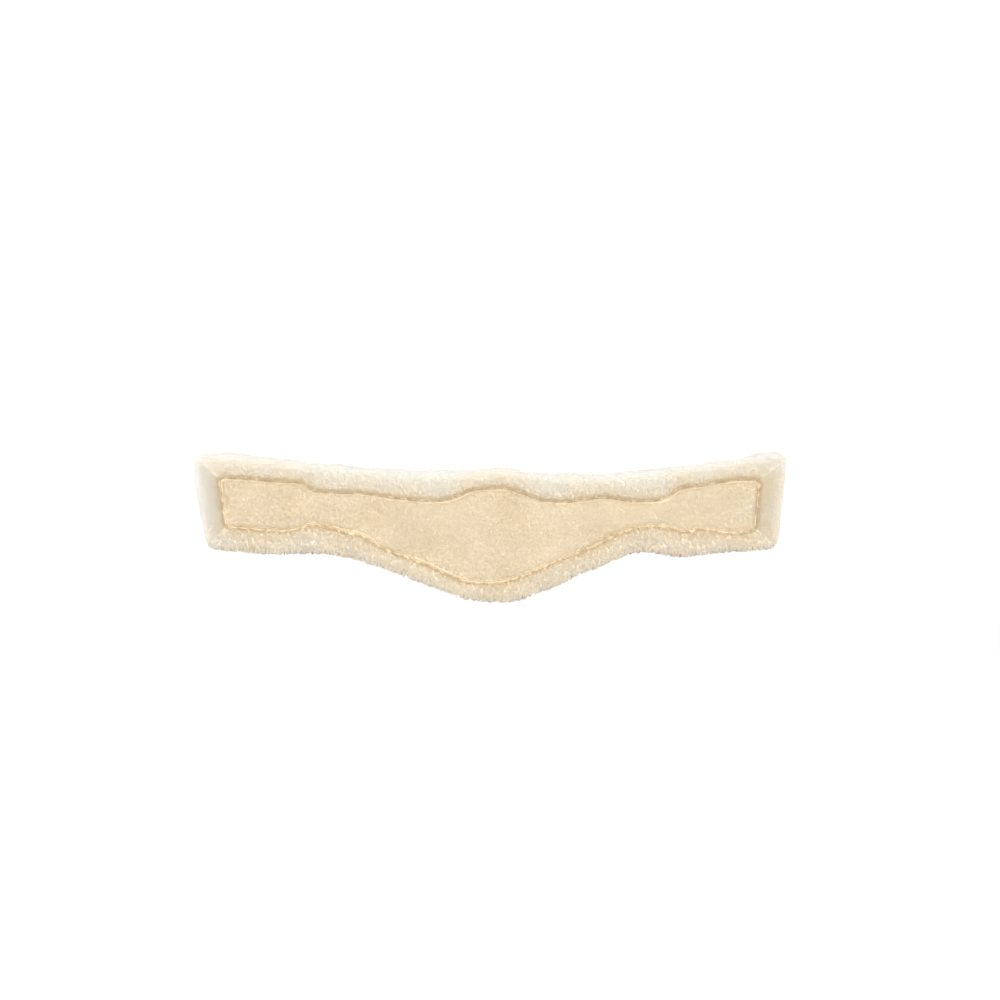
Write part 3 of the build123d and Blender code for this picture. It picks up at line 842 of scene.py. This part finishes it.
def patch(end):
    """Leather patch that follows the two webbings under it."""
    root, length, width = -96.0, 29.0, 70.0
    xs = np.linspace(root - 4, root - 4 + length, 30)
    ys = np.linspace(-width / 2, width / 2, 71)
    gx, gy = np.meshgrid(xs, ys, indexing="ij")
    over = np.zeros_like(gy)
    for s in (-1, 1):
        over = np.maximum(over, 1 / (1 + np.exp((np.abs(gy - s * HALF_BUCKLE) - 12.9) / 0.45)))
    past_root = 1 / (1 + np.exp(-(gx - root) / 0.5))
    top = 0.55 + 1.9 * (1 - over * past_root)
    rim = np.minimum.reduce([gx - xs[0], xs[-1] - gx, gy - ys[0], ys[-1] - gy])
    top = top + 0.9 * np.clip(1 - rim / 1.2, 0, 1) ** 2
    seam = np.exp(-((rim - 3.0) ** 2) / 0.5) * 0.25
    rear = top + seam
    front = np.where(over * past_root > 0.5, STRAP_REAR - 2.35, STRAP_REAR - 0.02)
    front = np.maximum(front, rear + 0.6)

    def shift(x, y):
        """Rounds the four corners."""
        radius = 5
        cx = np.clip(np.minimum(x - xs[0], xs[-1] - x), 0, radius)
        cy = np.clip(np.minimum(y - ys[0], ys[-1] - y), 0, radius)
        far = np.maximum(radius - cx, radius - cy)
        d = np.hypot(radius - cx, radius - cy)
        k = np.where((cx < radius) & (cy < radius) & (d > 1e-6), far / np.maximum(d, 1e-6), 1)
        ex = np.where(x < (xs[0] + xs[-1]) / 2, xs[0] + radius, xs[-1] - radius)
        ey = np.where(y < 0, ys[0] + radius, ys[-1] - radius)
        return np.where(k < 1, ex + (x - ex) * k, x), np.where(k < 1, ey + (y - ey) * k, y)

    px, py = shift(gx, gy)
    v = []
    for level in (rear, front):
        for x, y, t in zip(px.ravel(), py.ravel(), level.ravel()):
            v.append(end_point(end, None, x, y, t))
    a, b = gx.shape
    idx = np.arange(a * b).reshape(a, b)
    quads = np.stack([idx[:-1, :-1], idx[1:, :-1], idx[1:, 1:], idx[:-1, 1:]], axis=-1).reshape(-1, 4)
    back = quads[:, ::-1] + a * b
    ring = np.concatenate([idx[0, :], idx[1:, -1], idx[-1, -2::-1], idx[-2:0:-1, 0]])
    nxt = np.roll(ring, -1)
    side = np.stack([ring, nxt, nxt + a * b, ring + a * b], axis=1)
    f = np.concatenate([quads, back, side])
    if ENDS[end] < 0:
        f = f[:, ::-1]
    ob = piece(f"elastic_patch_{end}_leather", np.array(v), f, STRAP, "girth_body")
    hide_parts("elastic_patch_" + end)
    rim_line = box_loop((length - 6, width - 6), 3.0, (xs.mean(), 0))
    rim_line = resample(rim_line, 1.0)
    level = np.interp(np.abs(np.abs(rim_line[:, 1]) - HALF_BUCKLE), [11.5, 14.5], [0.5, 2.4])
    level = np.where(rim_line[:, 0] < root + 0.5, 2.4, level)
    path = np.array([end_point(end, None, x, y, t) for (x, y), t in zip(rim_line, level)])
    rim_path = np.vstack([path, path[:1]])
    stitches(f"elastic_patch_{end}_stitches", rim_path, 3.9, 2.9, 0.36, THREAD, "girth_body", "strap_leather")
    for n, s in enumerate((-1, 1)):
        y0, y1 = s * HALF_BUCKLE - 9, s * HALF_BUCKLE + 9
        x0, x1 = root + 4.5, root + 18.5
        for m, (p, q) in enumerate((((x0, y0), (x1, y1)), ((x0, y1), (x1, y0)))):
            path = end_line(end, None, p, q, 0.5, 30)
            stitches(f"elastic_patch_{end}_cross_{n}_{m}", path, 3.7, 2.8, 0.36, THREAD, "girth_body", "strap_leather")


def elastic(end, row):
    """Ribbed webbing from under the patch to inside the chape; it stretches between the two."""
    h = 1.2
    ups = np.concatenate([np.linspace(-96, -73, 12), np.linspace(-72, -29, 60), np.linspace(-28, -15, 8)])
    mid = np.interp(ups, [-96, -68, -64, -37, -33, -15], [3.2, 3.2, 3.05, 0.15, 0, 0])
    half = np.where(ups > -28, 2.02, h)
    across = np.linspace(-HALF_WEBBING, HALF_WEBBING, 76)
    rib = 0.16 * np.cos(across / 25 * 2 * pi * 9)
    edge = np.clip(1 - (HALF_WEBBING - np.abs(across)) / 0.9, 0, 1) ** 2
    top, low = [], []
    for u, m, t in zip(ups, mid, half):
        gather = 0.10 * sin(u * 2 * pi / 1.9) if -72 < u < -29 else 0
        for a, r, e in zip(across, rib, edge):
            room = (t - 0.1 + (r + gather) * (0.6 if u > -28 or u < -73 else 1)) * (1 - 0.6 * e)
            top.append(end_point(end, row, u, a, m - room))
            low.append(end_point(end, row, u, a, m + room))
    v = np.array(top + low)
    a, b = len(ups), len(across)
    idx = np.arange(a * b).reshape(a, b)
    quads = np.stack([idx[:-1, :-1], idx[1:, :-1], idx[1:, 1:], idx[:-1, 1:]], axis=-1).reshape(-1, 4)
    ring = np.concatenate([idx[0, :], idx[1:, -1], idx[-1, -2::-1], idx[-2:0:-1, 0]])
    nxt = np.roll(ring, -1)
    f = np.concatenate([quads, quads[:, ::-1] + a * b, np.stack([ring, nxt, nxt + a * b, ring + a * b], axis=1)])
    if ENDS[end] < 0:
        f = f[:, ::-1]
    ob = piece(f"elastic_{end}_{row}_webbing", v, f, WEBBING)
    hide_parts(f"elastic_{end}_{row}")
    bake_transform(ob)


def buckle(end, row):
    """One buckle's chape, frame, tongue and roller, with the chape's stitching on both faces."""
    key = f"{end}_{row}"
    chape = f"chape_{key}"
    cad_piece(chape, STRAP, 0.45)
    for name in ("buckle_frame", "buckle_tongue", "buckle_roller"):
        cad_piece(f"{name}_{key}", STEEL, 0.25 if name != "buckle_frame" else 0.0)
    rows = [((-26, 10), (-4, 10)), ((-26, -10), (-4, -10)), ((-26, 10), (-26, -10)), ((-17.5, 10), (-17.5, -10))]
    for tag, face, into in (("outer", -3.88, (0, -1, 0)), ("inner", 3.88, (0, 1, 0))):
        for k, (p, q) in enumerate(rows):
            path = end_line(end, row, p, q, face, 20)
            stitches(f"{chape}_stitches_{tag}_{k}", path, 3.4, 2.5, 0.3, THREAD, chape, "strap_leather", into)


# ---------------------------------------------------------------- the cloths and tapes between girth and liner
def cloths():
    """The girth's lining, the liner's backing and the touch fastener's tapes between them."""
    loop = inset(resample(body_loop, 3.0), 0.2)
    levels = (LINING_REAR + 0.05, HOOK_REAR - 0.02)
    lining = plate("body_lining_cloth", loop, *levels, LINING, "girth_body", "lining_cloth", 0.3, node="body_lining")
    on_liner = ("lambskin_liner", "backing_cloth")
    levels = (BACKING_REAR, PILE_REAR + 0.2)
    backing = plate("liner_backing_cloth", backing_loop, *levels, BACKING, *on_liner, 0.4, node="liner_backing")
    line = inset(resample(backing_loop, 2.0), 3.0)
    path = at_level(np.vstack([line, line[:1]]), BACKING_REAR)
    stitches("liner_backing_stitches", path, 4.0, 3.0, 0.3, THREAD, *on_liner)
    tapes = {
        "left": box_loop((110, 46), 6, (-268, -1), -END_TILT),
        "centre": box_loop((170, 60), 6, (0, -37)),
        "right": box_loop((110, 46), 6, (268, -1), END_TILT),
    }
    for name, loop in tapes.items():
        hook, loops = "hook_tape_" + name, "loop_tape_" + name
        on_hook, on_loops = ("girth_body", "hook_tape"), ("lambskin_liner", "loop_tape")
        plate(hook + "_hooks", loop, HOOK_REAR, LOOP_REAR, HOOKS, *on_hook, 0.3, node=hook)
        plate(loops + "_pile", loop, LOOP_REAR, BACKING_REAR, LOOPS, *on_loops, 0.3, node=loops)
        line = inset(resample(loop, 2.0), 2.5)
        ring = np.vstack([line, line[:1]])
        for key, level, on_body, into in ((hook, -0.1, on_hook, (0, 1, 0)), (loops, 0.1, on_loops, (0, -1, 0))):
            path = at_level(ring, LOOP_REAR + level)
            stitches(key + "_stitches", path, 3.6, 2.6, 0.25, THREAD, *on_body, into)


def seam_channel():
    """The strip of skin at the bottom of the stitched seam, with its thread."""
    # (inset from the seam, level) round the strip's section
    profile = [(-2.0, 19.5), (-2.0, 22.6), (-1.0, 23.4), (0.0, 23.0), (1.0, 23.4), (2.0, 22.6), (2.0, 19.5)]
    n, m = len(seam_loop), len(profile)
    v = []
    for depth, level in profile:
        q = at_level(inset(seam_loop, depth), level)
        q[:, 1] += 0.25 * waves(q, 14, 91)
        v.append(q)
    v = np.concatenate(v)
    f = [
        (r * n + k, r * n + (k + 1) % n, (r + 1) % m * n + (k + 1) % n, (r + 1) % m * n + k)
        for r in range(m)
        for k in range(n)
    ]
    piece("lambskin_seam_strip", v, np.array(f)[:, ::-1], SEAM_SKIN, "lambskin_liner")
    line = np.vstack([seam_loop, seam_loop[:1]])
    on_liner = ("lambskin_liner", "lambskin")
    stitches("lambskin_seam_stitches", at_level(line, 23.6), 4.8, 3.6, 0.5, SEAM_THREAD, *on_liner, twist=0.2)


# ---------------------------------------------------------------- build
cloths()
padded_body()
binding()
straps()
for end in ENDS:
    patch(end)
    for row in ROWS:
        elastic(end, row)
        buckle(end, row)
grow_panel()
for number, side in enumerate(ROLLS):
    grow_roll(side, 200 + number)
seam_channel()

# ---------------------------------------------------------------- floor, light and camera
low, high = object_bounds()
centre = (Vector(low) + Vector(high)) / 2
world = bpy.data.worlds.new("studio")
bpy.context.scene.world = world
world.use_nodes = True
world.node_tree.nodes["Background"].inputs["Color"].default_value = (1.0, 1.0, 1.0, 1)
world.node_tree.nodes["Background"].inputs["Strength"].default_value = 1.105

FLOOR_HALF, FLOOR_Z = 6, -0.45
floor_mesh = bpy.data.meshes.new("floor")
corners = [(x * FLOOR_HALF, z * FLOOR_HALF, FLOOR_Z) for x, z in ((-1, -1), (1, -1), (1, 1), (-1, 1))]
floor_mesh.from_pydata(corners, [], [(0, 1, 2, 3)])
floor = bpy.data.objects.new("floor", floor_mesh)
floor.data.materials.append(material("floor_white", (0.9, 0.9, 0.9), 0.9))
bpy.context.scene.collection.objects.link(floor)
floor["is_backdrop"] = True


def area_light(name, place, size, power):
    """A soft, slightly warm disk light that points at the middle of the frame."""
    data = bpy.data.lights.new(name, "AREA")
    data.shape = "DISK"
    data.size = size
    data.energy = power
    data.color = (1.0, 0.99, 0.97)
    ob = bpy.data.objects.new(name, data)
    ob.location = place
    ob.rotation_euler = (-Vector(place)).to_track_quat("-Z", "Y").to_euler()
    bpy.context.scene.collection.objects.link(ob)


area_light("key", (-0.2, -2.5, 1.2), 1.5, 28)
for name, x in (("side_left", -2.2), ("side_right", 2.2)):
    area_light(name, (x, -0.8, 0.5), 1.2, 9)
area_light("rear", (0.4, 2.3, 0.6), 0.7, 12)

# Square on to the fleece, so far off that the view is this wide, in metres, at the fleece's front.
VIEW_WIDTH, LENS, SENSOR = 1.2584, 90, 36
camera_data = bpy.data.cameras.new("camera")
camera_data.sensor_width = SENSOR
camera_data.lens = LENS
camera = bpy.data.objects.new("camera", camera_data)
camera.location = (centre.x + 0.0132, -(VIEW_WIDTH * LENS / SENSOR) - 0.031, centre.z + 0.0352)
camera.rotation_euler = (radians(90), 0, 0)
bpy.context.scene.collection.objects.link(camera)
bpy.context.scene.camera = camera
bpy.context.scene.view_settings.view_transform = "Standard"

low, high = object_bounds()
